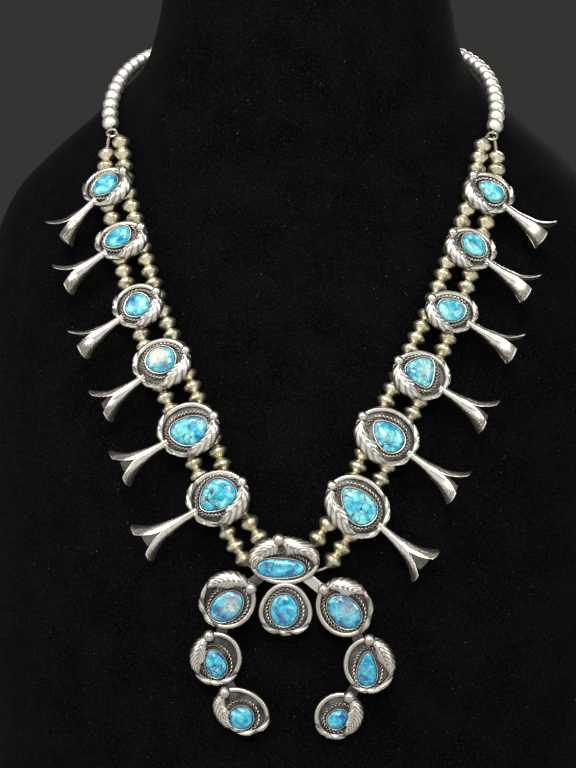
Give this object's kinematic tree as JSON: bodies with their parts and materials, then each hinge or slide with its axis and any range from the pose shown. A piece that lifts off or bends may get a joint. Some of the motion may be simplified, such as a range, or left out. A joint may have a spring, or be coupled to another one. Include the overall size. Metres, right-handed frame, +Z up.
{
  "type": "squash blossom necklace on a neck bust",
  "caption": "Silver and turquoise squash blossom necklace with a crescent pendant, two beaded strands and stone-set blossoms, resting on a plain black neck bust.",
  "frame": {"origin": "middle of the bust's flat base, on the floor", "axes": "+Z up, -Y towards the front of the necklace, +X towards the right side of the picture"},
  "size_m": [0.256, 0.1629, 0.328],
  "materials": {
    "silver": "polished silver, dark in its recesses",
    "bead_silver": "worn warm silver",
    "turquoise": "polished",
    "thread": "dull wire",
    "velvet": "black velvet pile"
  },
  "bodies": {
    "root": {"left_blossom_1": "silver", "left_blossom_2": "silver", "left_blossom_3": "silver", "left_blossom_4": "silver", "left_blossom_5": "silver", "left_blossom_6": "silver", "right_blossom_1": "silver", "right_blossom_2": "silver", "right_blossom_3": "silver", "right_blossom_4": "silver", "right_blossom_5": "silver", "right_blossom_6": "silver", "left_stone_1": "turquoise", "left_stone_2": "turquoise", "left_stone_3": "turquoise", "left_stone_4": "turquoise", "left_stone_5": "turquoise", "left_stone_6": "turquoise", "right_stone_1": "turquoise", "right_stone_2": "turquoise", "right_stone_3": "turquoise", "right_stone_4": "turquoise", "right_stone_5": "turquoise", "right_stone_6": "turquoise", "pendant_frame": "silver", "pendant_stone_top": "turquoise", "pendant_stone_drop": "turquoise", "pendant_stone_left_1": "turquoise", "pendant_stone_left_2": "turquoise", "pendant_stone_left_3": "turquoise", "pendant_stone_right_1": "turquoise", "pendant_stone_right_2": "turquoise", "pendant_stone_right_3": "turquoise", "left_outer_beads": "bead_silver", "right_outer_beads": "bead_silver", "left_inner_beads": "bead_silver", "right_inner_beads": "bead_silver", "left_neck_beads": "bead_silver", "right_neck_beads": "bead_silver", "left_neck_thread": "thread", "right_neck_thread": "thread", "left_jump_ring": "bead_silver", "right_jump_ring": "bead_silver", "outer_thread": "thread", "inner_thread": "thread", "clasp": "silver", "neck_bust": "velvet"}
  },
  "joints": []
}
